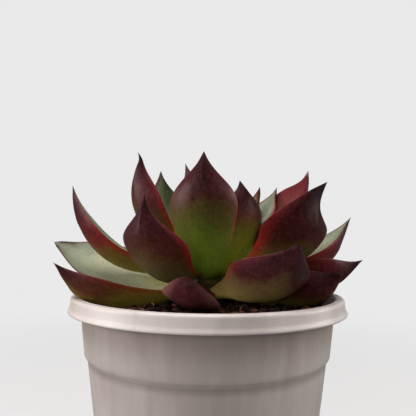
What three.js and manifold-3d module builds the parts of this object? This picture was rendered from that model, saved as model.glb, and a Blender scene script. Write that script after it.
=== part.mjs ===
// A rosette succulent in a round nursery pot, as separate solid pieces.
// Millimetres, +Z up. The pot's axis is Z, its foot stands on z = 0, and its front faces -Y.
import * as THREE from 'three';
import { mergeVertices } from 'three/addons/utils/BufferGeometryUtils.js';
import Module from 'manifold-3d';

const wasm = await Module();
wasm.setup();

// ---- driving sizes -------------------------------------------------------------------------

const potHeight = 92;
const rimRadius = 52.5;
const baseRadius = 36;
const wall = 1.3;
const rimDepth = 5.6;
const rimOverhang = 4.7;
const rimDraft = 0.7;
const stepDrop = 15.2;
const stepHeight = 1.8;
const stepDepth = 1.3;
const bandDraft = 1.63;
const floorTop = 4;
const channelRise = 2.5;
const padRadius = 9.7;
const footRing = 5.4;
const drainHoles = 8;
const drainRadius = 3;
const soilDrop = 5;
const soilMound = 1.6;
const stemRadius = 6.4;
const stemRise = 21;
const stemRoot = 9;
const plantScale = 1;
const plantLift = 14;
const gap = 0.3;
const roundSteps = 64;

// ---- sizes that follow ---------------------------------------------------------------------

const rimUnder = potHeight - rimDepth;
const bandTopRadius = rimRadius - rimOverhang;
const bandFootRadius = bandTopRadius - bandDraft;
const bodyTopRadius = bandFootRadius - stepDepth;
const stepTop = rimUnder - stepDrop;
const stepFoot = stepTop - stepHeight;
const channelInner = padRadius;
const channelOuter = baseRadius - footRing;
const soilEdge = potHeight - soilDrop;
const soilCrown = soilEdge + soilMound;
// The height that leaves are measured from. A larger plant stands higher, to clear the rim.
const crownFoot = potHeight + gap + plantLift * Math.max(0, plantScale - 1);
const stemGirth = stemRadius * plantScale;

const slots = {
  pot: { color: 0xcfc6bd, roughness: 0.42, metalness: 0 },
  soil: { color: 0x1c1512, roughness: 0.95, metalness: 0 },
  bark: { color: 0x7a4a38, roughness: 0.85, metalness: 0 },
  stem: { color: 0x6f6a3c, roughness: 0.6, metalness: 0 },
  leaf: { color: 0x6a3a3e, roughness: 0.45, metalness: 0 },
};

const plant = new THREE.Group();
plant.name = 'potted_succulent';

function add(name, slot, geometry) {
  const material = new THREE.MeshStandardMaterial(slots[slot]);
  const mesh = new THREE.Mesh(geometry, material);
  mesh.name = name;
  plant.add(mesh);
  return mesh;
}

// ---- solids --------------------------------------------------------------------------------

// Turns a profile of [radius, height] pairs about Z. It starts and ends on the axis.
function turned(profile, steps) {
  const points = profile.map(([radius, height]) => new THREE.Vector2(radius, height));
  const geometry = new THREE.LatheGeometry(points, steps);
  geometry.rotateX(Math.PI / 2);
  geometry.deleteAttribute('normal');
  geometry.deleteAttribute('uv');
  return mergeVertices(geometry, 1e-4);
}

// Joins rings of equal size, each a list of points, into one closed skin with a point at each end.
function skin(startPoint, rings, endPoint) {
  const count = rings[0].length;
  const positions = [startPoint, ...rings.flat(), endPoint].flatMap((p) => [p.x, p.y, p.z]);
  const index = [];
  const last = rings.length * count + 1;
  const at = (ring, i) => 1 + ring * count + (i % count);
  for (let i = 0; i < count; i += 1) {
    index.push(0, at(0, i + 1), at(0, i));
    index.push(last, at(rings.length - 1, i), at(rings.length - 1, i + 1));
  }
  for (let ring = 0; ring + 1 < rings.length; ring += 1) {
    for (let i = 0; i < count; i += 1) {
      index.push(at(ring, i), at(ring, i + 1), at(ring + 1, i + 1));
      index.push(at(ring, i), at(ring + 1, i + 1), at(ring + 1, i));
    }
  }
  const geometry = new THREE.BufferGeometry();
  geometry.setAttribute('position', new THREE.Float32BufferAttribute(positions, 3));
  geometry.setIndex(index);
  geometry.computeVertexNormals();
  return geometry;
}

function toSolid(geometry) {
  const mesh = new wasm.Mesh({
    numProp: 3,
    vertProperties: new Float32Array(geometry.attributes.position.array),
    triVerts: new Uint32Array(geometry.index.array),
  });
  return new wasm.Manifold(mesh);
}

function toGeometry(solid) {
  const mesh = solid.getMesh();
  const geometry = new THREE.BufferGeometry();
  geometry.setAttribute('position', new THREE.BufferAttribute(mesh.vertProperties, 3));
  geometry.setIndex(new THREE.BufferAttribute(mesh.triVerts, 1));
  geometry.computeVertexNormals();
  return geometry;
}

// ---- pot -----------------------------------------------------------------------------------

// The outside of the wall at a height, from the foot up to the rim.
function wallRadius(height) {
  if (height >= stepTop) {
    const up = (height - stepTop) / (rimUnder - stepTop);
    return bandFootRadius + bandDraft * up;
  }
  if (height >= stepFoot) {
    const up = (height - stepFoot) / stepHeight;
    return bodyTopRadius + stepDepth * up;
  }
  return baseRadius + ((bodyTopRadius - baseRadius) * height) / stepFoot;
}

const insideHeights = [potHeight - rimDepth + 1.2, stepTop - 0.4, stepFoot - 0.6, floorTop + 2];

function makePot() {
  const skirtTop = potHeight - wall;
  const skirtInside = rimRadius - wall + 0.2;
  const rimTopRadius = rimRadius - rimDraft;
  const mouthRadius = bandTopRadius + 0.2;
  const outside = [
    [0, 0],
    [channelInner, 0],
    [channelInner + 0.6, channelRise],
    [channelOuter - 0.6, channelRise],
    [channelOuter, 0],
    [baseRadius - 1.2, 0],
    [baseRadius - 0.3, 0.4],
    [wallRadius(1.4), 1.4],
    [bodyTopRadius, stepFoot],
    [bandFootRadius, stepTop],
    [wallRadius(rimUnder), rimUnder],
    [bandTopRadius + 0.25, skirtTop - 0.5],
    [bandTopRadius + 0.9, skirtTop],
    [skirtInside - 1.2, skirtTop],
    [skirtInside - 0.5, skirtTop - 0.5],
    [skirtInside, rimUnder + 0.3],
    [skirtInside + 0.3, rimUnder],
    [rimRadius - 0.2, rimUnder],
    [rimRadius, rimUnder + 0.3],
    [rimTopRadius + 0.1, potHeight - 0.9],
    [rimTopRadius - 0.2, potHeight - 0.3],
    [rimTopRadius - 0.9, potHeight],
    [mouthRadius + 0.8, potHeight],
    [mouthRadius, potHeight - 0.4],
    [mouthRadius - 0.6, potHeight - 1.6],
  ];
  const inside = insideHeights.map((height) => [wallRadius(height) - wall, height]);
  const floor = [
    [wallRadius(floorTop) - wall - 1.6, floorTop],
    [0, floorTop],
  ];
  let pot = toSolid(turned([...outside, ...inside, ...floor], roundSteps));
  const drainRing = (channelInner + channelOuter) / 2;
  const drillProfile = [[0, -1], [drainRadius, -1], [drainRadius, floorTop + 1], [0, floorTop + 1]];
  const drill = toSolid(turned(drillProfile, 20));
  for (let i = 0; i < drainHoles; i += 1) {
    const angle = (360 * i) / drainHoles;
    pot = pot.subtract(drill.translate([drainRing, 0, 0]).rotate([0, 0, angle]));
  }
  return toGeometry(pot);
}

add('pot', 'pot', makePot());

// ---- soil ----------------------------------------------------------------------------------

const rootFoot = soilCrown - stemRoot;

// Low bumps over the top of the soil; nothing moves at the wall or round the stem.
function addBumps(geometry) {
  const points = geometry.attributes.position;
  for (let i = 0; i < points.count; i += 1) {
    const radius = Math.hypot(points.getX(i), points.getY(i));
    const angle = Math.atan2(points.getY(i), points.getX(i));
    const onTop = points.getZ(i) > soilEdge - 0.01 && radius > stemGirth + 1;
    const edge = onTop ? Math.min(1, (bandTopRadius - radius) / 6) : 0;
    const swell = Math.sin(3 * angle + radius / 4) + 0.7 * Math.sin(7 * angle - radius / 3);
    points.setZ(i, points.getZ(i) + 0.32 * edge * swell);
  }
  geometry.computeVertexNormals();
  return geometry;
}

function makeSoil() {
  const side = (height) => wallRadius(height) - wall - gap;
  const span = side(soilEdge) - stemGirth;
  const hump = (part) => soilEdge + soilMound * (1 - part * part);
  const profile = [
    [0, floorTop + gap],
    [side(floorTop + 2) - 2.2, floorTop + gap],
    [side(floorTop + 2), floorTop + 2.4],
    [side(stepFoot - 0.8) - 0.1, stepFoot - 0.8],
    [side(stepTop + 0.2) - 0.4, stepTop + 0.2],
    [side(soilEdge) - 0.15, soilEdge - 0.6],
    [side(soilEdge) - 0.9, soilEdge],
    [stemGirth + 0.8 * span, hump(0.8)],
    [stemGirth + 0.58 * span, hump(0.58)],
    [stemGirth + 0.36 * span, hump(0.36)],
    [stemGirth + 0.16 * span, hump(0.16)],
    [stemGirth + gap, soilCrown],
    [stemGirth * 0.7 + gap, rootFoot - gap],
    [0, rootFoot - gap],
  ];
  return addBumps(turned(profile, 48));
}

add('soil', 'soil', makeSoil());

// ---- stem ----------------------------------------------------------------------------------

const crownTop = crownFoot + stemRise * plantScale;

// How thick the stem is at a height above the pot's mouth.
function stemRadiusAt(rise) {
  const up = Math.min(1, Math.max(0, rise / stemRise));
  return stemRadius * (1 - 0.55 * up * up);
}

function makeStem() {
  const profile = [
    [0, rootFoot],
    [stemGirth * 0.7, rootFoot],
    [stemGirth, soilCrown],
  ];
  for (let part = 0; part < 0.95; part += 0.16) {
    const ring = part % 0.32 < 0.1 ? 0 : -0.2;
    const radius = stemRadiusAt(part * stemRise) + ring;
    profile.push([radius * plantScale, crownFoot + part * stemRise * plantScale]);
  }
  profile.push([stemGirth * 0.3, crownTop - 0.6]);
  profile.push([0, crownTop]);
  return turned(profile, 24);
}

add('stem', 'stem', makeStem());

// ---- leaves --------------------------------------------------------------------------------

// Along the leaf: how far from its foot, how wide and how thick, as parts of the whole.
const leafStations = [
  { along: 0.0, wide: 0.36, thick: 0.6 },
  { along: 0.12, wide: 0.48, thick: 0.82 },
  { along: 0.26, wide: 0.7, thick: 0.96 },
  { along: 0.42, wide: 0.91, thick: 1.0 },
  { along: 0.56, wide: 1.0, thick: 0.94 },
  { along: 0.67, wide: 0.96, thick: 0.84 },
  { along: 0.765, wide: 0.73, thick: 0.7 },
  { along: 0.85, wide: 0.4, thick: 0.5 },
  { along: 0.92, wide: 0.17, thick: 0.3 },
  { along: 0.965, wide: 0.075, thick: 0.16 },
];

// Round the leaf: across from margin to margin, over the inner face and back under the outer.
const leafSection = [
  { across: 1.0, face: 0 },
  { across: 0.58, face: 0.3 },
  { across: 0.0, face: 0.3 },
  { across: -0.58, face: 0.3 },
  { across: -1.0, face: 0 },
  { across: -0.8, face: -0.7 },
  { across: -0.42, face: -0.7 },
  { across: 0.0, face: -0.7 },
  { across: 0.42, face: -0.7 },
  { across: 0.8, face: -0.7 },
];

const degrees = Math.PI / 180;

// A leaf from the stem to its tip.
// heading: which way it points, 0 = +X, 90 = +Y. reach: tip to the stem's middle. rise: tip above
// the mouth. foot: where it leaves the stem, above the mouth. turn: its foot's heading, if other.
// bow: how far it hangs below the straight line, as part of its length. roll and twist: degrees.
function makeLeaf(leaf) {
  const {
    heading, reach, rise, foot, wide, thick = 4.6, turn = heading, out = 0,
    bow = 0.1, sway = 0, roll = 0, twist = 0, cup = 0.22, hook = [0, 0, 0], slim = 0.85, blunt = 0,
  } = leaf;
  const away = stemRadiusAt(foot) + 4 * gap + out;
  const start = new THREE.Vector3(
    away * Math.cos(turn * degrees),
    away * Math.sin(turn * degrees),
    foot,
  );
  const tip = new THREE.Vector3(
    reach * Math.cos(heading * degrees),
    reach * Math.sin(heading * degrees),
    rise,
  );
  const chord = tip.clone().sub(start);
  const length = chord.length();
  const level = new THREE.Vector3(-Math.sin(heading * degrees), Math.cos(heading * degrees), 0);
  const inner = chord.clone().cross(level).normalize();
  const side = inner.clone().cross(chord).normalize();
  const axis = chord.clone().normalize();
  inner.applyAxisAngle(axis, roll * degrees);
  side.applyAxisAngle(axis, roll * degrees);

  const middle = (along) => {
    const belly = 4 * along * (1 - along) * length;
    const bend = Math.max(0, (along - 0.72) / 0.28) ** 3;
    return start.clone()
      .addScaledVector(chord, along)
      .addScaledVector(inner, -bow * belly)
      .addScaledVector(side, sway * belly)
      .add(new THREE.Vector3(...hook).multiplyScalar(bend));
  };
  const place = (point) => {
    point.multiplyScalar(plantScale);
    point.z += crownFoot;
    return point;
  };
  const rings = leafStations.map(({ along, wide: width, thick: depth }) => {
    const before = middle(Math.max(0, along - 0.02));
    const after = middle(Math.min(1, along + 0.02));
    const forward = after.sub(before).normalize();
    const up = inner.clone().addScaledVector(forward, -inner.dot(forward)).normalize();
    up.applyAxisAngle(forward, twist * along * degrees);
    const right = up.clone().cross(forward).normalize();
    const narrowing = slim + (1 - slim) * Math.min(1, along / 0.5);
    const half = (wide / 2) * narrowing * (along > 0.56 ? width ** (1 - blunt) : width);
    return leafSection.map(({ across, face }) => {
      const fill = 1 - Math.abs(across) ** 2.2;
      const lift = cup * half * across * across + face * thick * depth * fill;
      const point = middle(along)
        .addScaledVector(right, half * across)
        .addScaledVector(up, lift);
      return place(point);
    });
  });
  const heel = place(middle(0));
  const point = place(middle(1));
  return skin(heel, rings, point);
}

const leaves = [
  // the lowest leaves, spread over the mouth of the pot
  {
    name: 'leaf_low_front', heading: -99, reach: 42, rise: 9.5, foot: 2.8, wide: 18.5, bow: 0.16,
    sway: 0.03, roll: -14, cup: -0.08, blunt: 0.55,
  },
  {
    name: 'leaf_low_right_near', heading: -20, turn: -34, reach: 51, rise: 9, foot: 0.6, wide: 17,
    bow: 0.1, roll: 6, twist: -20, blunt: 0.25, sway: 0.07,
  },
  {
    name: 'leaf_low_left_near', heading: -160, reach: 58, rise: 12.2, foot: 2, wide: 24,
    bow: 0.13, roll: 7, blunt: 0.12,
  },
  { name: 'leaf_low_back_left', heading: 124, reach: 52, rise: 12, foot: 2, wide: 24, bow: 0.12 },
  { name: 'leaf_low_back_right', heading: 48, reach: 54, rise: 11, foot: 2, wide: 24, bow: 0.12 },
  {
    name: 'leaf_low_front_right', heading: -56.5, reach: 50.5, rise: 20, foot: 6.3, wide: 28,
    bow: 0.19, roll: -18, sway: 0.08, cup: 0.3, slim: 0.75, blunt: 0.2,
  },
  {
    name: 'leaf_low_right', heading: -2, reach: 60.5, rise: 13.5, foot: 6.8, wide: 23, bow: 0.08,
    roll: -6, turn: 4,
  },
  {
    name: 'leaf_low_left', heading: 173, reach: 64, rise: 19, foot: 5, wide: 31, bow: 0.11,
    roll: -23, blunt: 0.35, sway: -0.02,
  },
  { name: 'leaf_low_back', heading: 86, reach: 56, rise: 19, foot: 6, wide: 26, bow: 0.14 },
  // the middle leaves
  {
    name: 'leaf_mid_front_left', heading: -125.5, turn: -134, reach: 37, rise: 35.5, foot: 5.5,
    wide: 28.5, bow: 0.24, sway: -0.03,
  },
  {
    name: 'leaf_mid_left', heading: -175, turn: 172, reach: 53.3, rise: 41.5, foot: 10, wide: 24,
    bow: 0.21, roll: 12, sway: -0.01,
  },
  {
    name: 'leaf_mid_right_near', heading: -38, turn: -33, reach: 44, rise: 39.5, foot: 9.8,
    wide: 30, bow: 0.25, roll: -8, hook: [5, 0, 1], slim: 0.6, blunt: 0.4, sway: 0.05,
  },
  {
    name: 'leaf_mid_right', heading: 12, turn: 12, reach: 62, rise: 31, foot: 11.5, wide: 23,
    bow: 0.165,
  },
  {
    name: 'leaf_mid_back_left', heading: 128, reach: 42, rise: 34, foot: 10, wide: 26, bow: 0.17,
    turn: 124, slim: 0.75,
  },
  {
    name: 'leaf_mid_back_right', heading: 62, turn: 66, reach: 46, rise: 34, foot: 10, wide: 25,
    bow: 0.17,
  },
  // the upper leaves
  {
    name: 'leaf_top_front', heading: -95, reach: 22, rise: 51.8, foot: 8.5, wide: 25, bow: 0.14,
    slim: 1, turn: -97,
  },
  {
    name: 'leaf_top_right_near', heading: -44, turn: -52, reach: 16, rise: 43, foot: 12.9,
    wide: 25, bow: 0.2, sway: 0.04, slim: 0.85,
  },
  {
    name: 'leaf_top_left_near', heading: -153, turn: -161, reach: 29, rise: 52.7, foot: 13.2,
    wide: 20.5, bow: 0.145,
  },
  {
    name: 'leaf_top_right', heading: -6, turn: 9, reach: 40, rise: 46, foot: 14.8, wide: 18,
    bow: 0.13, hook: [-1, 0, 2], slim: 0.55, blunt: 0.25, sway: 0.065,
  },
  {
    name: 'leaf_top_right_far', heading: 37.5, turn: 50, reach: 42, rise: 43, foot: 14.5,
    wide: 23, bow: 0.16, slim: 0.7, sway: 0.07,
  },
  {
    name: 'leaf_top_left_far', heading: 146, turn: 154, reach: 25, rise: 49.9, foot: 14.6,
    wide: 21, bow: 0.14, slim: 0.7,
  },
  {
    name: 'leaf_top_back', heading: 92, reach: 26, rise: 48, foot: 14, wide: 22, bow: 0.15,
    slim: 0.7, turn: 104, sway: 0,
  },
  // the young leaves in the middle
  {
    name: 'leaf_young_back', heading: 125, reach: 18, rise: 53.5, foot: 18, wide: 14, thick: 3.4,
    bow: 0.12, sway: -0.1,
  },
  {
    name: 'leaf_young_right_far', heading: 18, reach: 30, rise: 43, foot: 17, wide: 17,
    thick: 3.4, bow: 0.13, slim: 0.75, sway: 0.05, turn: 28,
  },
  {
    name: 'leaf_young_right', heading: 22, turn: 28, reach: 23, rise: 43, foot: 19, wide: 13,
    thick: 3.2, bow: 0.1, slim: 0.8,
  },
  {
    name: 'leaf_young_left', heading: 172, reach: 12, rise: 40, foot: 18.5, wide: 12, thick: 3.2,
    bow: 0.14,
  },
  {
    name: 'leaf_young_front_left', heading: -124, reach: 12, rise: 40, foot: 16.5, wide: 12,
    thick: 3.2, bow: 0.13, slim: 0.75,
  },
  {
    name: 'leaf_young_front', heading: -62, reach: 10, rise: 38, foot: 17.5, wide: 12, thick: 3,
    bow: 0.13, slim: 0.75,
  },
  {
    name: 'leaf_young_back_right', heading: 66, reach: 10.5, rise: 39, foot: 17.5, wide: 9.5,
    thick: 2.8, bow: 0.13, slim: 0.75,
  },
  {
    name: 'leaf_bud_front', heading: -80, reach: 6, rise: 36, foot: 20.5, wide: 10, thick: 2.6,
    bow: 0.14,
  },
  {
    name: 'leaf_bud_back', heading: 110, reach: 5, rise: 37, foot: 20.5, wide: 9, thick: 2.6,
    bow: 0.14,
  },
];

for (const leaf of leaves) {
  add(leaf.name, 'leaf', makeLeaf(leaf));
}

// ---- bark ----------------------------------------------------------------------------------

// A flake of bark lying on the soil: long, wide and thick, tapering and rounded at both ends.
// heading: which way it lies from the stem. inset: its middle to the wall. angle: how it is turned.
function makeChip(chip) {
  const { heading, inset, angle, long, wide, thick } = chip;
  const outline = [
    { along: -0.5, part: 0.45 },
    { along: -0.28, part: 0.9 },
    { along: 0.12, part: 1 },
    { along: 0.42, part: 0.6 },
  ];
  const corners = [[1, 0.1], [0.5, 0.5], [-0.5, 0.45], [-1, 0], [-0.55, -0.45], [0.5, -0.5]];
  const rings = outline.map(({ along, part }) => corners.map(([across, up]) => (
    new THREE.Vector3(along * long, across * part * wide * 0.5, up * part * thick)
  )));
  const start = new THREE.Vector3(-0.58 * long, 0, 0);
  const end = new THREE.Vector3(0.55 * long, 0.1 * wide, 0);
  const geometry = skin(start, rings, end);
  const span = bandTopRadius - wall - stemRadius;
  const out = bandTopRadius - wall - inset;
  const soilHere = soilEdge + soilMound * (1 - ((out - stemRadius) / span) ** 2);
  geometry.rotateZ(angle * degrees);
  geometry.computeBoundingBox();
  const rest = soilHere + 0.7 - geometry.boundingBox.min.z;
  geometry.translate(out * Math.cos(heading * degrees), out * Math.sin(heading * degrees), rest);
  return geometry;
}

const chips = [
  { name: 'bark_right', heading: 2, inset: 5, angle: 28, long: 9, wide: 4.2, thick: 1.5 },
  { name: 'bark_right_far', heading: 22, inset: 5.5, angle: 100, long: 7, wide: 3.4, thick: 1.2 },
  { name: 'bark_left', heading: 177, inset: 22.5, angle: 62, long: 7, wide: 2.6, thick: 1.1 },
  {
    name: 'bark_middle_right', heading: 12, inset: 27.5, angle: 10, long: 6.5, wide: 2.6,
    thick: 1.1,
  },
  { name: 'bark_far_left', heading: 150, inset: 8.5, angle: 35, long: 8, wide: 3.6, thick: 1.3 },
  { name: 'bark_back', heading: 74, inset: 7.5, angle: 150, long: 8.5, wide: 3.8, thick: 1.4 },
];

for (const chip of chips) {
  add(chip.name, 'bark', makeChip(chip));
}

export default plant;
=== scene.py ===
"""A rosette succulent in a round nursery pot, with its soil, stem, leaves and bark flakes."""

import math
import random

import bmesh
import bpy
from mathutils import Matrix, Vector


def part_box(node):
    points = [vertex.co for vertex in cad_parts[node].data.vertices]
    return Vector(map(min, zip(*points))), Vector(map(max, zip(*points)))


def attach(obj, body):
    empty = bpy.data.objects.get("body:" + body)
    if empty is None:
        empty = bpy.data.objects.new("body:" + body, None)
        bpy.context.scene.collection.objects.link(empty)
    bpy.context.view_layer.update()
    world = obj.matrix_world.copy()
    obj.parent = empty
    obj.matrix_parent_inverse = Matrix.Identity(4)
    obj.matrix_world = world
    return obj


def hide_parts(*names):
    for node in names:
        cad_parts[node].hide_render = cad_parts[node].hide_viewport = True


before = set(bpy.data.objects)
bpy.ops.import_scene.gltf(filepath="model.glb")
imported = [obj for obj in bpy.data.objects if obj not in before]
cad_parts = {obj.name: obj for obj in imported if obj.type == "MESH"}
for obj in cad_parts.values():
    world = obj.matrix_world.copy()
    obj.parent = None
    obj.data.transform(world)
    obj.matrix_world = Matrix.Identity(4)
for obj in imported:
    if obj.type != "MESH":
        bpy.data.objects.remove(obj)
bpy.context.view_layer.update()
bpy.context.scene.view_settings.view_transform = "Standard"

MM = 0.001


# ---- hands: selecting, shaping and finishing -------------------------------------------------


def take(piece):
    """Selects one piece and nothing else."""
    bpy.ops.object.select_all(action="DESELECT")
    piece.select_set(True)
    bpy.context.view_layer.objects.active = piece


def edit(piece):
    """Opens one piece in edit mode with all of its points selected."""
    take(piece)
    bpy.ops.object.mode_set(mode="EDIT")
    bpy.ops.mesh.select_mode(type="VERT")
    bpy.ops.mesh.select_all(action="SELECT")


def leave_edit():
    bpy.ops.object.mode_set(mode="OBJECT")


def add_modifier(piece, kind, **settings):
    """Adds a modifier and applies it."""
    take(piece)
    modifier = piece.modifiers.new(kind.lower(), kind)
    for name, value in settings.items():
        setattr(modifier, name, value)
    bpy.ops.object.modifier_apply(modifier=modifier.name)


def smooth(piece, angle):
    take(piece)
    bpy.ops.object.shade_smooth_by_angle(angle=math.radians(angle))


def subdivide(piece, levels):
    add_modifier(piece, "SUBSURF", levels=levels, render_levels=levels)


def roughen(piece, size, strength, **settings):
    """Pushes a surface in and out by a cloud pattern of that size."""
    pattern = bpy.data.textures.new(piece.name + "_clouds", "CLOUDS")
    pattern.noise_scale = size
    settings |= {"texture": pattern, "strength": strength, "mid_level": 0.5}
    add_modifier(piece, "DISPLACE", **settings)


def own(piece, slot, material, *nodes):
    """Gives a piece its material, hides the CAD nodes that it replaces and attaches it to root."""
    piece.data.materials.clear()
    piece.data.materials.append(material)
    if nodes:
        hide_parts(*nodes)
    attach(piece, "root")


def turn_profile(name, points, steps):
    """Draws a profile of (radius, height) points and spins it once round the pot's axis."""
    bpy.ops.object.select_all(action="DESELECT")
    first = points[0]
    bpy.ops.mesh.primitive_plane_add(size=MM, location=(first[0], 0, first[1]))
    piece = bpy.context.object
    piece.name = name
    bpy.ops.object.transform_apply(location=True)
    edit(piece)
    bpy.ops.mesh.merge(type="CENTER")
    for before, after in zip(points, points[1:]):
        step = (after[0] - before[0], 0, after[1] - before[1])
        bpy.ops.mesh.extrude_vertices_move(TRANSFORM_OT_translate={"value": step})
    bpy.ops.mesh.select_all(action="SELECT")
    bpy.ops.mesh.spin(steps=steps, angle=math.tau, center=(0, 0, 0), axis=(0, 0, 1))
    bpy.ops.mesh.select_all(action="SELECT")
    bpy.ops.mesh.remove_doubles(threshold=0.01 * MM)
    bpy.ops.mesh.normals_make_consistent(inside=False)
    leave_edit()
    return piece


def arc(centre, radius, start, end, count=5):
    """Points on an arc from one angle to another, in degrees, for a rounded corner."""
    turns = [math.radians(start + (end - start) * i / (count - 1)) for i in range(count)]
    return [(centre[0] + radius * math.cos(t), centre[1] + radius * math.sin(t)) for t in turns]


# ---- paint: nodes for the materials ----------------------------------------------------------


def shade(red, green, blue):
    """A screen colour, 0 to 255, as the light that it stands for."""
    parts = [part / 255 for part in (red, green, blue)]
    return (*[p / 12.92 if p <= 0.04045 else ((p + 0.055) / 1.055) ** 2.4 for p in parts], 1)


class Paint:
    """One material and the nodes that it is painted with."""

    def __init__(self, name, **settings):
        self.material = bpy.data.materials.new(name)
        self.material.use_nodes = True
        self.tree = self.material.node_tree
        self.surface = self.tree.nodes["Principled BSDF"]
        for socket, value in settings.items():
            self.surface.inputs[socket.replace("_", " ")].default_value = value

    def node(self, kind, inputs=(), **settings):
        made = self.tree.nodes.new(kind)
        for name, value in settings.items():
            setattr(made, name, value)
        for key, value in dict(inputs).items():
            if isinstance(value, bpy.types.NodeSocket):
                self.tree.links.new(value, made.inputs[key])
            else:
                made.inputs[key].default_value = value
        return made

    def number(self, operation, first, second=0.0):
        made = self.node("ShaderNodeMath", {0: first, 1: second}, operation=operation)
        return made.outputs[0]

    def fade(self, value, start, end, low=0.0, high=1.0):
        """Goes smoothly from low to high while the value goes from start to end."""
        inputs = {"Value": value, "From Min": start, "From Max": end, "To Min": low, "To Max": high}
        return self.node("ShaderNodeMapRange", inputs, interpolation_type="SMOOTHSTEP").outputs[0]

    def mix(self, amount, first, second, way="MIX"):
        inputs = {0: amount, 6: first, 7: second}
        return self.node("ShaderNodeMix", inputs, data_type="RGBA", blend_type=way).outputs[2]

    def ramp(self, value, stops):
        made = self.node("ShaderNodeValToRGB", {0: value})
        marks = made.color_ramp.elements
        marks[0].position, marks[0].color = stops[0]
        marks[1].position, marks[1].color = stops[-1]
        for place, colour in stops[1:-1]:
            marks.new(place).color = colour
        return made.outputs[0]

    def place(self, scale=(1, 1, 1)):
        """Object coordinates, stretched."""
        spot = self.node("ShaderNodeTexCoord").outputs["Object"]
        return self.node("ShaderNodeMapping", {"Vector": spot, "Scale": scale}).outputs[0]

    def height(self):
        """How high over the floor a spot is."""
        return self.node("ShaderNodeSeparateXYZ", {0: self.place()}).outputs[2]

    def noise(self, scale, detail=3.0, rough=0.55, where=None):
        inputs = {"Vector": where or self.place(), "Scale": scale, "Detail": detail}
        inputs["Roughness"] = rough
        return self.node("ShaderNodeTexNoise", inputs).outputs[0]

    def cells(self, scale):
        inputs = {"Vector": self.place(), "Scale": scale}
        return self.node("ShaderNodeTexVoronoi", inputs, feature="F1").outputs[0]

    def trait(self, name):
        """A number that the piece's own points carry."""
        return self.node("ShaderNodeAttribute", attribute_name=name).outputs["Fac"]

    def colour(self, value):
        self.tree.links.new(value, self.surface.inputs["Base Color"])

    def rough(self, value):
        self.tree.links.new(value, self.surface.inputs["Roughness"])

    def bump(self, *layers):
        """Each layer is a height, how deep it is in metres, and how strong."""
        normal = None
        for height, depth, strength in layers:
            inputs = {"Height": height, "Distance": depth, "Strength": strength}
            if normal:
                inputs["Normal"] = normal
            normal = self.node("ShaderNodeBump", inputs).outputs[0]
        self.tree.links.new(normal, self.surface.inputs["Normal"])


# ---- camera, floor and light -----------------------------------------------------------------

EYE = Vector((0, -180.4 * MM, 113.3 * MM))
LOOK_UP = math.radians(3.87)
LEAN = math.radians(0.65)
FIELD = math.radians(49.13)
SLIDE = -0.0017
HEART = (0, 0, 0.1)
BACKDROP = 0.82
AMBIENT = 0.13
FLOOR_RADIUS = 8
FLOOR_TONE = 0.3
FLOOR_GLOW = 0.42
FLOOR_FADE = (0.15, 0.6)


def make_camera():
    data = bpy.data.cameras.new("camera")
    data.angle = FIELD
    data.clip_start = 10 * MM
    data.shift_x = SLIDE
    camera = bpy.data.objects.new("camera", data)
    bpy.context.scene.collection.objects.link(camera)
    tilt = Matrix.Rotation(math.pi / 2 + LOOK_UP, 4, "X") @ Matrix.Rotation(LEAN, 4, "Z")
    camera.matrix_world = Matrix.Translation(EYE) @ tilt
    bpy.context.scene.camera = camera


def make_world():
    """Pale behind the object, and only a little light from all round."""
    world = bpy.data.worlds.new("studio")
    bpy.context.scene.world = world
    world.use_nodes = True
    nodes, links = world.node_tree.nodes, world.node_tree.links
    ambient = nodes["Background"]
    ambient.inputs["Color"].default_value = (0.95, 0.97, 1, 1)
    ambient.inputs["Strength"].default_value = AMBIENT
    pale = nodes.new("ShaderNodeBackground")
    pale.inputs["Color"].default_value = (BACKDROP, BACKDROP, BACKDROP, 1)
    path = nodes.new("ShaderNodeLightPath")
    either = nodes.new("ShaderNodeMixShader")
    links.new(path.outputs["Is Camera Ray"], either.inputs[0])
    links.new(ambient.outputs[0], either.inputs[1])
    links.new(pale.outputs[0], either.inputs[2])
    links.new(either.outputs[0], nodes["World Output"].inputs["Surface"])


def make_floor():
    """A pale sheet that keeps soft shadows near the pot and fades into the backdrop."""
    bpy.ops.object.select_all(action="DESELECT")
    bpy.ops.mesh.primitive_circle_add(vertices=64, radius=FLOOR_RADIUS, fill_type="NGON")
    floor = bpy.context.object
    floor.name = "floor"
    paint = Paint("floor", Roughness=0.9, Specular_IOR_Level=0.0)
    spot = paint.node("ShaderNodeTexCoord").outputs["Object"]
    reach = paint.node("ShaderNodeVectorMath", {0: spot}, operation="LENGTH").outputs["Value"]
    away = paint.fade(reach, *FLOOR_FADE)
    paint.colour(paint.mix(away, (FLOOR_TONE, FLOOR_TONE, FLOOR_TONE, 1), (0, 0, 0, 1)))
    glow = paint.fade(reach, *FLOOR_FADE, FLOOR_GLOW, BACKDROP)
    paint.surface.inputs["Emission Color"].default_value = (1, 1, 1, 1)
    paint.tree.links.new(glow, paint.surface.inputs["Emission Strength"])
    floor.data.materials.append(paint.material)
    floor.visible_diffuse = False
    floor.visible_glossy = False


def add_light(name, place, width, height, power, colour, shiny=True):
    """A soft panel that faces the middle of the rosette."""
    data = bpy.data.lights.new(name, "AREA")
    data.shape = "RECTANGLE"
    data.size, data.size_y = width, height
    data.energy = power
    data.color = colour
    light = bpy.data.objects.new(name, data)
    bpy.context.scene.collection.objects.link(light)
    light.visible_glossy = shiny
    aim = (Vector(HEART) - Vector(place)).to_track_quat("-Z", "Y")
    light.matrix_world = Matrix.Translation(place) @ aim.to_matrix().to_4x4()


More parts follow.
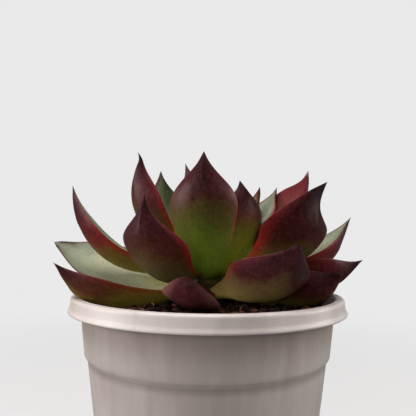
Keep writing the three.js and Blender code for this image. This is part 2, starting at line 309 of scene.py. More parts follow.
def make_lights():
    warm, white = (1, 0.96, 0.94), (1, 1, 1)
    add_light("window_left", (-0.8, -0.16, 0.26), 0.35, 0.45, 5.2, warm)
    add_light("window_right", (0.75, 0.02, 0.3), 0.3, 0.45, 4, warm)
    add_light("overhead", (-0.1, 0.0, 0.85), 0.6, 0.6, 5.5, warm)
    add_light("backdrop_glow", (0, 1.0, 0.3), 2.6, 1.2, 5, white, shiny=False)
    add_light("front_fill", (-0.3, -0.9, 0.3), 0.5, 0.5, 3, warm, shiny=False)


# ---- pot -------------------------------------------------------------------------------------

pot_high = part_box("pot")[1]
POT_TOP = pot_high.z
RIM = pot_high.x
WALL = 1.3 * MM
RIM_UNDER = POT_TOP - 5.6 * MM
BAND_TOP = RIM - 4.7 * MM
BAND_FOOT = BAND_TOP - 1.63 * MM
BODY_TOP = BAND_FOOT - 1.3 * MM
STEP_TOP = RIM_UNDER - 15.2 * MM
STEP_FOOT = STEP_TOP - 1.8 * MM
BASE = 36 * MM
FLOOR_TOP = 4 * MM
CHANNEL_RISE = 2.5 * MM
CHANNEL_INNER = 9.7 * MM
CHANNEL_OUTER = BASE - 5.4 * MM
DRAIN_RADIUS = 3 * MM
DRAIN_HOLES = 8


def body_radius(height):
    """The outside of the tapering wall below the step."""
    return BASE + (BODY_TOP - BASE) * height / STEP_FOOT


def pot_profile():
    """The pot's section, from the middle of its foot up the outside, over the rim and down inside."""
    soft = 0.5 * MM
    skirt_in = RIM - 1.15 * MM
    rim_top = RIM - 0.9 * MM
    mouth = BAND_TOP + 0.2 * MM
    underside = [
        (0, 0.35 * MM),
        (2.2 * MM, 0.35 * MM),
        (2.6 * MM, 0),
        (CHANNEL_INNER, 0),
        (CHANNEL_INNER + soft, CHANNEL_RISE - soft),
        (CHANNEL_INNER + 2 * soft, CHANNEL_RISE),
        (CHANNEL_OUTER - 2 * soft, CHANNEL_RISE),
        (CHANNEL_OUTER - soft, CHANNEL_RISE - soft),
        (CHANNEL_OUTER, 0),
    ]
    heel = arc((BASE - 1.2 * MM, 1.2 * MM), 1.2 * MM, -90, 0)
    body = [(body_radius(h), h) for h in (3 * MM, 0.3 * STEP_FOOT, 0.7 * STEP_FOOT)]
    step = [
        (BODY_TOP - 0.05 * MM, STEP_FOOT - 0.9 * MM),
        (BODY_TOP, STEP_FOOT - 0.1 * MM),
        (BODY_TOP + 0.25 * MM, STEP_FOOT + 0.3 * MM),
        (BAND_FOOT - 0.2 * MM, STEP_TOP - 0.3 * MM),
        (BAND_FOOT + 0.02 * MM, STEP_TOP + 0.2 * MM),
        (BAND_FOOT + 0.1 * MM, STEP_TOP + 1.2 * MM),
    ]
    band = [(BAND_TOP - 0.8 * MM, (STEP_TOP + RIM_UNDER) / 2), (BAND_TOP, RIM_UNDER)]
    hollow = [
        (BAND_TOP + 0.25 * MM, POT_TOP - WALL - 0.6 * MM),
        (BAND_TOP + 0.9 * MM, POT_TOP - WALL),
        (skirt_in - 1.3 * MM, POT_TOP - WALL),
        (skirt_in - 0.5 * MM, POT_TOP - WALL - 0.6 * MM),
        (skirt_in - 0.05 * MM, RIM_UNDER + 0.5 * MM),
    ]
    lip = arc((RIM - 0.5 * MM, RIM_UNDER + 0.5 * MM), 0.5 * MM, -150, 0)
    skirt = [
        (RIM - 0.12 * MM, RIM_UNDER + 0.95 * MM),
        (RIM - 0.62 * MM, RIM_UNDER + 1.5 * MM),
        (RIM - 0.7 * MM, RIM_UNDER + 2.1 * MM),
        (rim_top, POT_TOP - 1.9 * MM),
    ]
    crest = arc((rim_top - 1.1 * MM, POT_TOP - 1.1 * MM), 1.1 * MM, 5, 90, 7)
    brim = arc((mouth + 0.9 * MM, POT_TOP - 0.9 * MM), 0.9 * MM, 90, 180, 6)
    inside = [
        (BAND_TOP - WALL, RIM_UNDER),
        (BAND_FOOT - WALL, STEP_TOP - 0.4 * MM),
        (BODY_TOP - WALL, STEP_FOOT - 0.6 * MM),
        (body_radius(FLOOR_TOP + 2 * MM) - WALL, FLOOR_TOP + 2 * MM),
        (body_radius(FLOOR_TOP) - WALL - 1.6 * MM, FLOOR_TOP),
        (0, FLOOR_TOP),
    ]
    outside = underside + heel + body + step + band
    return outside + hollow + lip + skirt + crest + brim + inside


def drill_drain_holes(pot):
    ring = (CHANNEL_INNER + CHANNEL_OUTER) / 2
    for i in range(DRAIN_HOLES):
        angle = math.tau * i / DRAIN_HOLES
        place = (ring * math.cos(angle), ring * math.sin(angle), FLOOR_TOP / 2)
        bpy.ops.object.select_all(action="DESELECT")
        bpy.ops.mesh.primitive_cylinder_add(
            vertices=32, radius=DRAIN_RADIUS, depth=4 * FLOOR_TOP, location=place
        )
        drill = bpy.context.object
        add_modifier(pot, "BOOLEAN", object=drill, operation="DIFFERENCE", solver="EXACT")
        bpy.data.objects.remove(drill)


def pot_plastic():
    paint = Paint("pot_plastic", Specular_IOR_Level=0.45, Coat_Weight=0.08, Coat_Roughness=0.35)
    height = paint.height()
    # painted light: the skirt is painted lighter than the body, though both are one plastic
    body, skirt = shade(192, 184, 177), shade(213, 205, 200)
    tone = paint.mix(paint.fade(height, RIM_UNDER - 0.1 * MM, RIM_UNDER + 0.3 * MM), body, skirt)
    clouds = paint.noise(28, 2)
    tone = paint.mix(paint.fade(clouds, 0.35, 0.7, 0, 0.3), tone, shade(152, 138, 128))
    streaks = paint.noise(1, 3, 0.6, paint.place((260, 260, 12)))
    tone = paint.mix(paint.fade(streaks, 0.45, 0.75, 0, 0.22), tone, shade(222, 212, 204))
    worn = paint.noise(1, 2, 0.5, paint.place((110, 110, 20)))
    tone = paint.mix(paint.fade(worn, 0.45, 0.7, 0, 0.25), tone, shade(150, 136, 126))
    dust = paint.noise(900, 2)
    tone = paint.mix(paint.fade(dust, 0.66, 0.8, 0, 0.25), tone, shade(150, 134, 122))
    # soft shade painted under the skirt and under the step, deeper than the lights give alone
    for top, reach, most in ((RIM_UNDER, 13 * MM, 0.85), (STEP_FOOT, 3 * MM, 0.6)):
        painted_shade = paint.fade(height, top - reach, top - 0.2 * reach, 0, most)
        below = paint.fade(height, top - 0.1 * MM, top + 0.3 * MM, 1, 0)
        painted_shade = paint.number("MULTIPLY", painted_shade, below)
        tone = paint.mix(painted_shade, tone, shade(204, 197, 193), "MULTIPLY")
    paint.colour(tone)
    paint.rough(paint.fade(clouds, 0.3, 0.7, 0.36, 0.48))
    paint.bump((streaks, 0.05 * MM, 0.25), (paint.noise(2600, 2), 0.02 * MM, 0.2))
    return paint.material


def make_pot():
    pot = turn_profile("nursery_pot", pot_profile(), steps=160)
    drill_drain_holes(pot)
    smooth(pot, angle=35)
    own(pot, "pot", pot_plastic(), "pot")


# ---- soil ------------------------------------------------------------------------------------

SOIL_EDGE = POT_TOP - 5 * MM
SOIL_CROWN = SOIL_EDGE + 1.6 * MM
SOIL_RADIUS = BAND_TOP - WALL - 0.3 * MM
STEM_RADIUS = 6.4 * MM
CRUMBS_FROM = 8 * MM


def soil_height(radius):
    """The mounded top of the soil."""
    span = SOIL_RADIUS - STEM_RADIUS
    part = min(1, max(0, (radius - STEM_RADIUS) / span))
    return SOIL_EDGE + (SOIL_CROWN - SOIL_EDGE) * (1 - part * part)


def soil_mix():
    paint = Paint("potting_soil", Roughness=0.95, Specular_IOR_Level=0.15)
    grain = paint.noise(420, 6, 0.65)
    crumbs = paint.cells(600)
    dark, brown, red = shade(32, 23, 18), shade(92, 66, 50), shade(132, 84, 62)
    tone = paint.ramp(grain, [(0.32, dark), (0.54, shade(44, 32, 25)), (0.78, brown)])
    tone = paint.mix(paint.fade(paint.noise(150, 3), 0.6, 0.75, 0, 0.5), tone, red)
    tone = paint.mix(paint.fade(crumbs, 0.1, 0.7, 0.45, 0), tone, dark)
    paint.colour(tone)
    paint.bump((grain, 0.9 * MM, 0.8), (crumbs, 0.5 * MM, 0.6))
    return paint.material


def make_soil(material):
    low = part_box("soil")[0].z
    rings = 70
    top = [SOIL_RADIUS * (1 - i / rings) for i in range(rings)]
    profile = [(0, low), (body_radius(FLOOR_TOP) - WALL - 2 * MM, low)]
    profile.append((body_radius(FLOOR_TOP + 3 * MM) - WALL - 0.5 * MM, low + 2.5 * MM))
    profile.append((BODY_TOP - WALL - 0.5 * MM, STEP_FOOT - 0.8 * MM))
    profile.append((BAND_FOOT - WALL - 0.7 * MM, STEP_TOP))
    profile.append((SOIL_RADIUS, SOIL_EDGE - 0.8 * MM))
    profile += [(radius, soil_height(radius)) for radius in top]
    profile.append((0, SOIL_CROWN))
    soil = turn_profile("potting_soil", profile, steps=220)
    ground = soil.vertex_groups.new(name="ground")
    surface = [v.index for v in soil.data.vertices if v.co.z > SOIL_EDGE - 0.1 * MM]
    ground.add(surface, 1, "REPLACE")
    for size, strength in ((9, 1.5), (3.4, 1.7), (1.3, 1.1)):
        roughen(soil, size * MM, strength * MM, direction="Z", vertex_group="ground")
    smooth(soil, angle=60)
    own(soil, "soil", material, "soil")
    return soil


def scatter(name, pattern, places):
    """Many copies of a small shape, as one piece."""
    mesh = bpy.data.meshes.new(name)
    build = bmesh.new()
    for place in places:
        count = len(build.verts)
        build.from_mesh(pattern.data)
        build.verts.ensure_lookup_table()
        bmesh.ops.transform(build, matrix=place, verts=build.verts[count:])
    build.to_mesh(mesh)
    build.free()
    piece = bpy.data.objects.new(name, mesh)
    bpy.context.scene.collection.objects.link(piece)
    bpy.data.objects.remove(pattern)
    return piece


def crumb_places(draw, count, small, large, thin=1.0):
    """Spots all over the soil, with a random turn and size for each."""
    places = []
    for _ in range(count):
        size = small + (large - small) * draw.random() ** 2.2
        outer = SOIL_RADIUS - 0.9 * size
        radius = math.sqrt(draw.uniform(CRUMBS_FROM**2, outer**2))
        angle = draw.uniform(0, math.tau)
        height = soil_height(radius) + draw.uniform(-0.1, 0.35) * size
        spot = Vector((radius * math.cos(angle), radius * math.sin(angle), height))
        spin = Matrix.Rotation(draw.uniform(0, math.tau), 4, "Z")
        tip = Matrix.Rotation(draw.uniform(-0.5, 0.5), 4, "X")
        stretch = (size, size * draw.uniform(0.5, 1) * thin, size * draw.uniform(0.4, 0.8) * thin)
        grow = Matrix.Diagonal((*stretch, 1))
        places.append(Matrix.Translation(spot) @ spin @ tip @ grow)
    return places


def make_crumbs(name, slot, material, seed, count, small, large, thin=1.0):
    """Loose crumbs over the soil, between the small and large size in millimetres."""
    bpy.ops.object.select_all(action="DESELECT")
    bpy.ops.mesh.primitive_ico_sphere_add(subdivisions=2, radius=0.5)
    pattern = bpy.context.object
    pattern.name = "crumb"
    roughen(pattern, 0.4, 0.35)
    places = crumb_places(random.Random(seed), count, small * MM, large * MM, thin)
    crumbs = scatter(name, pattern, places)
    smooth(crumbs, angle=50)
    own(crumbs, slot, material)


def make_fibres(material):
    """Fine peat fibres and root hairs lying over the crumbs."""
    bpy.ops.object.select_all(action="DESELECT")
    lying = (0, math.pi / 2, 0)
    bpy.ops.mesh.primitive_cylinder_add(vertices=4, radius=0.045, depth=1, rotation=lying)
    pattern = bpy.context.object
    bpy.ops.object.transform_apply(rotation=True)
    edit(pattern)
    for cut in (-0.3, -0.1, 0.1, 0.3):
        bpy.ops.mesh.select_all(action="SELECT")
        bpy.ops.mesh.bisect(plane_co=(cut, 0, 0), plane_no=(1, 0, 0))
    leave_edit()
    for v in pattern.data.vertices:
        v.co.y += 0.12 * math.sin(3.2 * v.co.x) + 0.05 * math.sin(9 * v.co.x)
        v.co.z += 0.16 * math.cos(3 * v.co.x) - 0.1
    places = crumb_places(random.Random(11), count=240, small=2.5 * MM, large=9 * MM)
    fibres = scatter("soil_fibres", pattern, places)
    smooth(fibres, angle=60)
    own(fibres, "bark", material)


# ---- stem ------------------------------------------------------------------------------------


def stem_skin():
    paint = Paint("stem_skin", Specular_IOR_Level=0.35)
    height = paint.height()
    scars = paint.noise(1, 2, 0.5, paint.place((60, 60, 420)))
    # brown near the soil is partly the stem's own and partly painted shade under the low leaves
    green, brown = shade(84, 88, 36), shade(70, 56, 34)
    tone = paint.mix(paint.fade(height, SOIL_CROWN, POT_TOP + 10 * MM), brown, green)
    tone = paint.mix(paint.fade(scars, 0.45, 0.65, 0, 0.6), tone, shade(46, 36, 22))
    paint.colour(tone)
    paint.rough(paint.fade(scars, 0.4, 0.7, 0.6, 0.8))
    paint.bump((scars, 0.5 * MM, 0.6), (paint.noise(900, 4), 0.1 * MM, 0.5))
    return paint.material


def make_stem():
    low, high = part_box("stem")
    profile = [(0, low.z), (0.7 * STEM_RADIUS, low.z), (STEM_RADIUS, SOIL_CROWN)]
    nodes = 9
    for i in range(nodes):
        up = i / nodes
        height = SOIL_CROWN + up * (high.z - SOIL_CROWN - 2 * MM)
        radius = STEM_RADIUS * (1 - 0.5 * up * up)
        step = (high.z - SOIL_CROWN) / nodes
        profile.append((radius, height + 0.35 * step))
        profile.append((radius - 0.45 * MM, height + 0.75 * step))
    profile += [(1.6 * MM, high.z - 0.8 * MM), (0, high.z)]
    stem = turn_profile("stem_with_scars", profile, steps=48)
    roughen(stem, 4 * MM, 0.9 * MM)
    smooth(stem, angle=60)
    own(stem, "stem", stem_skin(), "stem")


# ---- leaves ----------------------------------------------------------------------------------

# A leaf is ten rings of ten points between a heel and a tip. A ring starts on the right margin,
# crosses the inner face to the left margin and comes back along the underside, over the keel.
RINGS = 10
ROUND = 10
RIGHT_MARGIN, LEFT_MARGIN, KEEL = 0, 4, 7
ACROSS = (1, 0.58, 0, -0.58, -1, -0.8, -0.42, 0, 0.42, 0.8)
KEEL_FROM = 6
KEEL_CREASE = 0.55
KEEL_RISE = 0.5 * MM

# shares of a leaf's length over which a change of its shape sets in
FOOT = (0.0, 0.4)
BLADE = (0.05, 0.4)
TAPER = (0.78, 1)
SHOULDER = (0.5, 0.85)
NECK = (0.6, 0.95)


def copy_node(node, name):
    """A copy of a CAD node's mesh, with its loose triangles joined up."""
    piece = bpy.data.objects.new(name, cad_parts[node].data.copy())
    bpy.context.scene.collection.objects.link(piece)
    edit(piece)
    bpy.ops.mesh.remove_doubles(threshold=0.002 * MM)
    leave_edit()
    return piece


def number_points(build):
    """Finds each point's ring, from 0 at the heel to 11 at the tip, and its place in the ring."""
    poles = [v for v in build.verts if len(v.link_edges) == ROUND]
    tip = max(poles, key=lambda v: v.co.xy.length)
    level = {tip: RINGS + 1}
    edge = [tip]
    while edge:
        found = []
        for v in edge:
            for other in (e.other_vert(v) for e in v.link_edges):
                if other not in level:
                    level[other] = level[v] - 1
                    found.append(other)
        edge = found
    # after is the next point round a ring, and above is the next one towards the tip
    after, above, diagonals = {}, {}, []
    for face in build.faces:
        for loop in face.loops:
            a, b, c = loop.vert, loop.link_loop_next.vert, loop.link_loop_prev.vert
            if level[a] == level[b] == level[c] - 1:
                after[a] = b
                if level[c] <= RINGS:
                    above[b] = c
                    diagonals.append(build.edges.get((a, c)))
    below = {c: b for b, c in above.items()}
    # the margins are the two points farthest apart on the middle ring
    widest = [v for v in level if level[v] == RINGS // 2]
    pairs = [(a, b) for a in widest for b in widest]
    margins = max(pairs, key=lambda pair: (pair[0].co - pair[1].co).length)
    start = margins[0]
    walked = start
    for _ in range(LEFT_MARGIN):
        walked = after[walked]
    if walked != margins[1]:
        start = margins[1]
    around = {}
    v = start
    for place in range(ROUND):
        for chain in (above, below):
            point = v
            while point is not None:
                around[point] = place
                point = chain.get(point)
        v = after[v]
    return level, around, diagonals


def which_face(place):
    """1 on the inner face, -1 on the underside and 0 on the margins and at the ends."""
    if place in (None, RIGHT_MARGIN, LEFT_MARGIN):
        return 0
    return 1 if place < LEFT_MARGIN else -1


def add_traits(build, around, heel, tip):
    """Gives every point its share of the way along, across, and which face it is on."""
    traits = build.verts.layers.float
    along, across, inner = traits["along"], traits["across"], traits["inner"]
    chord = tip - heel
    for v in build.verts:
        place = around.get(v)
        v[along] = (v.co - heel).dot(chord) / chord.length_squared
        v[across] = 0 if place is None else ACROSS[place]
        v[inner] = which_face(place)


def ease(value, start, end):
    part = min(1, max(0, (value - start) / (end - start)))
    return part * part * (3 - 2 * part)


def fill_out(build, level, around, look):
    """Widens, deepens and turns the blade, and spreads the foot that clasps the stem."""
    along = build.verts.layers.float["along"]
    heel = next(v for v in level if level[v] == 0)
    tip = next(v for v in level if level[v] == RINGS + 1)
    chord = (tip.co - heel.co).normalized()
    heel.co.z -= look["sag"] * MM
    for ring in range(1, RINGS + 1):
        points = {around[v]: v for v in level if level[v] == ring}
        right, left = points[RIGHT_MARGIN].co.copy(), points[LEFT_MARGIN].co.copy()
        middle, side = (right + left) / 2, (right - left).normalized()
        share = points[KEEL][along]
        blade = ease(share, *BLADE) * (1 - 0.75 * ease(share, *TAPER))
        clasp = 1 - ease(share, *FOOT)
        blunt = look["blunt"] * ease(share, *SHOULDER)
        wide = 1 + (look["wide"] - 1) * blade + (look["clasp"] - 1) * clasp + blunt
        deep = 1 + (look["deep"] - 1) * blade + blunt
        roll = math.radians(look["roll"]) * ease(share, *BLADE)
        turn = Matrix.Rotation(roll, 3, chord)
        shift = side * look["aside"] * blade + Vector((0, 0, -look["sag"])) * clasp
        shift += Vector(look["neck"]) * ease(share, *NECK)
        for place, v in points.items():
            offset = v.co - middle
            sideways = side * offset.dot(side)
            upright = offset - sideways
            offset = sideways * wide + upright * (deep if place > LEFT_MARGIN else 1)
            v.co = middle + turn @ offset + shift * MM
    tip.co += Vector(look["hook"]) * MM


def shape_leaf(piece, look):
    """Turns the CAD leaf into quads with sharp margins, a keel under the tip and a rooted foot."""
    edit(piece)
    build = bmesh.from_edit_mesh(piece.data)
    for trait in ("along", "across", "inner"):
        build.verts.layers.float.new(trait)
    point = build.verts.layers.float.new("crease_vert")
    crease = build.edges.layers.float.new("crease_edge")
    level, around, diagonals = number_points(build)
    heel = next(v for v in level if level[v] == 0)
    tip = next(v for v in level if level[v] == RINGS + 1)
    add_traits(build, around, heel.co.copy(), tip.co.copy())
    tip[point] = 1
    fill_out(build, level, around, look)
    for e in build.edges:
        places = {around.get(v) for v in e.verts if v in around}
        rungs = {level[v] for v in e.verts}
        if len(places) == 1 and len(rungs) == 2 and places <= {RIGHT_MARGIN, LEFT_MARGIN}:
            e[crease] = look["crease"]
        if places == {KEEL} and len(rungs) == 2 and min(rungs) > KEEL_FROM:
            e[crease] = KEEL_CREASE
    centre = {}
    for ring in range(1, RINGS + 1):
        centre[ring] = sum((v.co for v in level if level[v] == ring), Vector()) / ROUND
    for v in level:
        if around.get(v) == KEEL and KEEL_FROM <= level[v] < RINGS:
            out = (v.co - centre[level[v]]).normalized()
            v.co += out * KEEL_RISE * (level[v] - KEEL_FROM + 1) / (RINGS - KEEL_FROM)
    root = (heel.co - centre[1]).normalized()
    for v in level:
        if level[v] <= 1:
            v.co += root * look["root"] * MM
    bmesh.ops.dissolve_edges(build, edges=diagonals, use_verts=False)
    bmesh.update_edit_mesh(piece.data)
    leave_edit()


def leaf_outside(paint, look, reach, side):
    """Green at the foot, then maroon and darkest at the tip, with painted shade along the keel."""
    green = look["green"]
    colours = paint.ramp(reach, [
        (0.0, look["foot"]),
        (max(0.05, green * 0.35), look["base"]),
        (green, look["leaf"]),
        (min(0.9, green + 0.16), look["turning"]),
        (min(0.94, green + 0.34), look["maroon"]),
        (1.0, look["tip"]),
    ])
    ripe = paint.fade(reach, green + 0.08, green + 0.32)
    # painted shade: the middle of the underside, along the keel, goes dark in the maroon part
    core = paint.number("MULTIPLY", paint.fade(side, 0.1, 0.75, look["core"], 0), ripe)
    return paint.mix(core, colours, look["tip"])


def leaf_inside(paint, look, reach, clouds):
    """Pale grey-green in soft patches, darker at the tip."""
    colours = paint.ramp(reach, [
        (0.0, look["inner_foot"]),
        (0.3, look["inner_low"]),
        (0.84, look["inner"]),
        (0.94, look["inner_tip"]),
        (1.0, look["tip"]),
    ])
    return paint.mix(paint.fade(clouds, 0.5, 0.75, 0, 0.5), colours, PATCHES, "MULTIPLY")


def leaf_rims(paint, look, along, across, tone):
    """The coloured margins, each as strong as the look says."""
    edge = paint.fade(paint.number("ABSOLUTE", across), look["edge"], 1.0)
    # the paler pinks of the rims are partly a painted highlight of the lit edge
    rim = paint.ramp(along, list(zip(RIM_PLACES, look["rims"])))
    strong = paint.fade(across, -0.2, 0.2, look["left"], look["right"])
    return paint.mix(paint.number("MULTIPLY", edge, strong), tone, rim)


def leaf_wear(paint, look, clouds, tone):
    """A dusty bloom, a fine mottle, some specks and, on one leaf, a blemish."""
    bloom = paint.fade(paint.noise(60, 4, 0.65), 0.42, 0.7, 0, look["bloom"])
    tone = paint.mix(bloom, tone, shade(122, 62, 74))
    mottle = paint.noise(900, 4, 0.7)
    tone = paint.mix(paint.fade(mottle, 0.45, 0.75, 0, 0.07), tone, shade(168, 128, 120))
    tone = paint.mix(paint.fade(mottle, 0.3, 0.5, 0.5, 0), tone, shade(180, 160, 160), "MULTIPLY")
    specks = paint.fade(paint.cells(260), 0.0, 0.11, 0.55, 0)
    specks = paint.number("MULTIPLY", specks, paint.fade(clouds, 0.5, 0.62))
    tone = paint.mix(specks, tone, shade(52, 24, 22))
    if look["spot"]:
        spot = {0: paint.place((1, 0, 1)), 1: [part * MM for part in look["spot"]]}
        away = paint.node("ShaderNodeVectorMath", spot, operation="DISTANCE").outputs["Value"]
        away = paint.number("ADD", away, paint.fade(mottle, 0.3, 0.7, -0.25 * MM, 0.25 * MM))
        tone = paint.mix(paint.fade(away, 0.35 * MM, 0.8 * MM, 0.85, 0), tone, shade(26, 12, 10))
    return tone


def leaf_skin(name, look):
    """Green to maroon outside, a grey-green inner face, red margins and a little wear."""
    paint = Paint(name, Specular_IOR_Level=look["shine"])
    paint.surface.inputs["Specular Tint"].default_value = (1, 0.68, 0.7, 1)
    along, across, inner = paint.trait("along"), paint.trait("across"), paint.trait("inner")
    clouds = paint.noise(95, 3, 0.6)
    lines = {0: paint.number("MULTIPLY", across, 9.0), 1: along, 2: look["seed"]}
    veins = paint.noise(1.6, 3, 0.6, paint.node("ShaderNodeCombineXYZ", lines).outputs[0])
    wander = paint.number("MULTIPLY_ADD", clouds, 0.22)
    wander.node.inputs[2].default_value = -0.11
    side = paint.number("ABSOLUTE", across)
    keel = paint.fade(side, 0.0, 0.9, -look["keel_green"], 0.04)
    reach = paint.number("ADD", paint.number("ADD", along, wander), keel)
    outside = leaf_outside(paint, look, reach, side)
    inside = leaf_inside(paint, look, reach, clouds)
    tone = paint.mix(paint.fade(inner, -0.15, 0.35), outside, inside)
    tone = paint.mix(paint.fade(veins, 0.35, 0.65, 0.12, 0), tone, look["tip"])
    tone = leaf_rims(paint, look, along, across, tone)
    tone = leaf_wear(paint, look, clouds, tone)
    dry = paint.fade(along, look["dry"], look["dry"] + 0.035)
    paint.colour(paint.mix(dry, tone, look["dried"]))
    paint.rough(paint.fade(clouds, 0.3, 0.7, 0.36, 0.5))
    paint.bump(
        (veins, 0.3 * MM, 0.12),
        (paint.noise(420, 3), 0.12 * MM, 0.16),
        (paint.noise(3200, 2), 0.02 * MM, 0.25),
    )
    return paint.material


PATTERN_STEP = 3.7
RIM_PLACES = (0.0, 0.25, 0.45, 0.66, 0.82, 1.0)
PATCHES = shade(200, 214, 196)
# margins: the reds and yellows are their own, the paler pinks partly a painted highlight
RED_RIMS = (
    shade(140, 108, 40), shade(160, 80, 30), shade(150, 34, 24),
    shade(118, 32, 36), shade(98, 42, 46), shade(60, 24, 26),
)
YELLOW_RIMS = (
    shade(176, 180, 76), shade(176, 172, 72), shade(168, 140, 60),
    shade(130, 60, 40), shade(98, 42, 46), shade(60, 24, 26),
)
ROSE_RIMS = (shade(150, 60, 52),) * 5 + (shade(90, 30, 34),)
PINK_RIMS = (
    shade(150, 40, 26), shade(150, 50, 40), shade(150, 84, 76),
    shade(150, 104, 96), shade(140, 96, 90), shade(80, 40, 40),
)

# How a leaf looks. The colours of the underside run foot, base, leaf, turning, maroon and tip, with
# green as the share of the length where leaf sits. Those of the inner face start with inner. The
# rims run from foot to tip, edge is where they start across the blade, and right and left are how
# strong they are. keel_green is the green along the keel and core the painted shade along it, dry
# is where a dried tip starts and spot is the place of a blemish in millimetres. bloom is how dusty
# the skin is and shine how much it reflects. The shape keys are wide, deep, clasp (width of the
# foot), blunt (width near the tip), crease (of the margins), roll in degrees, and, in millimetres,
# aside, sag (of the foot), root, neck (near the tip) and hook (of the tip).
PLAIN = {
    "rims": RED_RIMS,
    "root": 2.4,
    "inner_foot": shade(160, 156, 84),
    "green": 0.38,
    "keel_green": 0.1,
    "foot": shade(150, 134, 54),
    "base": shade(120, 118, 36),
    "leaf": shade(86, 80, 28),
    "turning": shade(74, 36, 22),
    "maroon": shade(60, 16, 21),
    "tip": shade(30, 7, 10),
    "inner": shade(150, 162, 134),
    "inner_low": shade(192, 196, 152),
    "inner_tip": shade(120, 104, 88),
    "edge": 0.82,
    "right": 0.7,
    "left": 0.4,
    "bloom": 0.12,
    "dry": 0.985,
    "dried": shade(34, 18, 16),
    "wide": 1.05,
    "deep": 1.2,
    "clasp": 1.3,
    "blunt": 0,
    "aside": 0,
    "roll": 0,
    "sag": 0,
    "hook": (0, 0, 0),
    "neck": (0, 0, 0),
    "crease": 0.86,
    "shine": 0.2,
    "core": 0.6,
    "spot": None,
}

BROAD = {
    "wide": 1.9, "left": 1, "right": 1, "edge": 0.6, "rims": ROSE_RIMS,
    "inner": shade(140, 154, 130), "inner_low": shade(158, 168, 142),
}

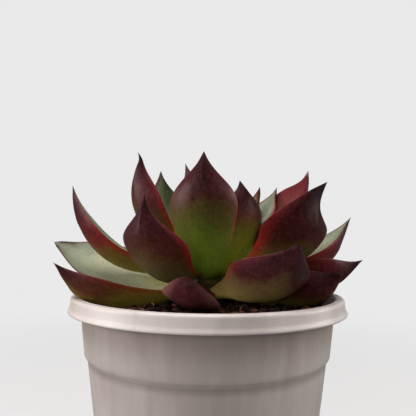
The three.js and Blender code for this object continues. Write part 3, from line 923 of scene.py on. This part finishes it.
LOOKS = {
    "leaf_top_front": {
        "green": 0.5, "foot": shade(106, 132, 40), "base": shade(114, 140, 40),
        "leaf": shade(82, 86, 26), "turning": shade(66, 36, 20), "tip": shade(24, 6, 8),
        "left": 0.3, "edge": 0.86,
        "wide": 1.0, "clasp": 1.4, "keel_green": 0.04, "sag": 4, "spot": (-5.6, 0, 127),
    },
    "leaf_top_right_near": {
        "green": 0.48, "base": shade(116, 124, 36), "leaf": shade(88, 80, 26),
        "maroon": shade(50, 12, 15), "tip": shade(22, 6, 8), "shine": 0.06,
        "rims": YELLOW_RIMS,
        "turning": shade(74, 36, 20), "left": 0.9, "wide": 1.15, "clasp": 2.4, "aside": -0.3,
        "keel_green": 0.04, "sag": 7, "foot": shade(120, 128, 40),
    },
    "leaf_mid_front_left": {
        "green": 0.4, "right": 0.9, "left": 0.1, "foot": shade(140, 132, 62),
        "base": shade(114, 114, 62), "leaf": shade(90, 76, 46), "wide": 1.04,
        "keel_green": 0.16, "neck": (0, 0, -1),
    },
    "leaf_low_front": {
        "green": 0.1, "left": 1, "right": 0.6, "bloom": 0.35, "crease": 0.3, "roll": 4,
        "inner": shade(78, 24, 24), "inner_low": shade(96, 36, 28), "sag": 1,
        "inner_foot": shade(60, 42, 24), "rims": PINK_RIMS, "maroon": shade(78, 32, 32),
        "turning": shade(98, 44, 36), "tip": shade(54, 22, 23), "edge": 0.45, "wide": 1.04,
        "deep": 1.35, "blunt": 0.2,
    },
    "leaf_low_front_right": {
        "green": 0.44, "left": 0.5, "right": 0.1, "bloom": 0.2, "foot": shade(214, 192, 112),
        "base": shade(168, 152, 84), "leaf": shade(112, 94, 56), "turning": shade(64, 30, 26),
        "clasp": 1.1, "keel_green": 0.3, "sag": 2.5, "root": 6, "maroon": shade(42, 12, 17),
        "tip": shade(24, 7, 9), "shine": 0.16,
    },
    "leaf_top_left_near": {
        "green": 0.42, "maroon": shade(74, 17, 26), "turning": shade(84, 40, 34), "right": 0.9,
        "left": 0.1, "wide": 1.08, "aside": -1.4, "deep": 1.5, "hook": (-0.8, 0, 0.3),
        "neck": (0.8, 0, -0.6),
    },
    # a darker green inner face, partly its own colour and partly painted shade
    "leaf_top_left_far": {
        "wide": 1.15, "inner": shade(76, 90, 56), "inner_low": shade(122, 136, 96),
        "inner_tip": shade(60, 30, 28),
    },
    "leaf_young_back": {
        "green": 0.05, "inner": shade(72, 26, 28), "inner_low": shade(150, 154, 122),
        "inner_tip": shade(50, 12, 15),
    },
    "leaf_young_right": {
        "green": 0.05, "inner": shade(84, 20, 22), "inner_tip": shade(60, 14, 16),
    },
    "leaf_mid_left": {
        "green": 0.46, "right": 1, "wide": 1.0, "deep": 1.4, "roll": -10, "edge": 0.78,
        "foot": shade(176, 170, 60), "base": shade(150, 142, 46), "leaf": shade(106, 92, 40),
        "turning": shade(110, 44, 30), "maroon": shade(74, 18, 25), "inner": shade(132, 152, 122),
        "inner_low": shade(146, 166, 122), "shine": 0.1,
    },
    # an inner face paler towards the foot, partly painted light against the shade of leaves above
    "leaf_low_left": {
        "green": 0.35, "left": 1, "right": 0.8, "inner": shade(149, 160, 134),
        "inner_low": shade(218, 223, 184), "inner_tip": shade(134, 130, 108), "edge": 0.84,
        "inner_foot": shade(220, 216, 130), "clasp": 2.0, "sag": 1.5,
    },
    "leaf_low_left_near": {
        "green": 0.54, "right": 0.7, "deep": 1.9, "keel_green": 0.2, "leaf": shade(124, 106, 40),
        "clasp": 1.6, "base": shade(150, 142, 50), "turning": shade(86, 46, 24),
        "maroon": shade(50, 14, 17),
    },
    "leaf_mid_right_near": {
        "green": 0.44, "left": 1, "right": 0.1, "dry": 0.93, "edge": 0.74,
        "maroon": shade(54, 11, 14), "wide": 1.1, "aside": 1.4, "blunt": 0.55,
        "hook": (0.4, 0, 0.2), "neck": (-1.6, 0, -1.8), "shine": 0.05,
        "turning": shade(70, 32, 22),
    },
    "leaf_mid_right": {
        "wide": 1.2, "deep": 1.9, "left": 0.9, "turning": shade(116, 44, 28),
        "maroon": shade(84, 18, 22),
    },
    "leaf_low_right": {
        "wide": 1.15, "deep": 1.9, "roll": -16, "maroon": shade(72, 17, 20), "edge": 0.7,
        "shine": 0.1,
    },
    "leaf_low_right_near": {
        "wide": 1.2, "deep": 1.5, "roll": -18, "blunt": 0.9, "keel_green": 0.3, "shine": 0.12,
        "left": 0.1, "right": 0.1,
    },
    "leaf_top_right": {
        "green": 0.2, "dry": 0.95, "dried": shade(120, 92, 80), "wide": 1.6, "roll": 35,
        "inner": shade(100, 26, 34), "inner_low": shade(136, 84, 76),
        "inner_tip": shade(96, 30, 34), "left": 1, "right": 1,
    },
    "leaf_top_right_far": {**BROAD, "aside": 1.2},
    "leaf_young_right_far": BROAD,
}


def make_leaves():
    nodes = sorted(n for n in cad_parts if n.startswith("leaf_"))
    for number, node in enumerate(nodes):
        look = {**PLAIN, **LOOKS.get(node, {}), "seed": PATTERN_STEP * number}
        leaf = copy_node(node, node.replace("leaf_", "fleshy_leaf_"))
        shape_leaf(leaf, look)
        subdivide(leaf, levels=3)
        roughen(leaf, 9 * MM, 0.35 * MM)
        smooth(leaf, angle=70)
        own(leaf, "leaf", leaf_skin(node + "_skin", look), node)


# ---- bark ------------------------------------------------------------------------------------


def bark_flake():
    paint = Paint("bark_flake", Roughness=0.85, Specular_IOR_Level=0.25)
    layers = paint.noise(1, 4, 0.65, paint.place((260, 260, 1500)))
    tone = paint.ramp(layers, [
        (0.3, shade(52, 30, 24)),
        (0.5, shade(112, 68, 52)),
        (0.72, shade(160, 112, 90)),
    ])
    tone = paint.mix(paint.fade(paint.noise(700, 3), 0.5, 0.75, 0, 0.5), tone, shade(70, 38, 30))
    paint.colour(tone)
    paint.bump((layers, 0.5 * MM, 0.8), (paint.noise(1800, 3), 0.1 * MM, 0.5))
    return paint.material


def make_bark(material):
    for node in sorted(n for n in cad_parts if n.startswith("bark_")):
        flake = copy_node(node, node + "_flake")
        edit(flake)
        bpy.ops.mesh.tris_convert_to_quads()
        leave_edit()
        subdivide(flake, levels=3)
        roughen(flake, 2.2 * MM, 0.9 * MM)
        roughen(flake, 0.8 * MM, 0.4 * MM)
        smooth(flake, angle=50)
        own(flake, "bark", material, node)


# ---- everything ------------------------------------------------------------------------------

make_camera()
make_world()
make_floor()
make_lights()
make_pot()
soil_material = soil_mix()
make_soil(soil_material)
make_crumbs("soil_crumbs", "soil", soil_material, seed=7, count=1500, small=0.9, large=4.2)
bark_material = bark_flake()
make_crumbs("bark_bits", "bark", bark_material, seed=5, count=300, small=1.2, large=5.5, thin=0.5)
make_fibres(bark_material)
make_stem()
make_leaves()
make_bark(bark_material)

bpy.context.view_layer.update()
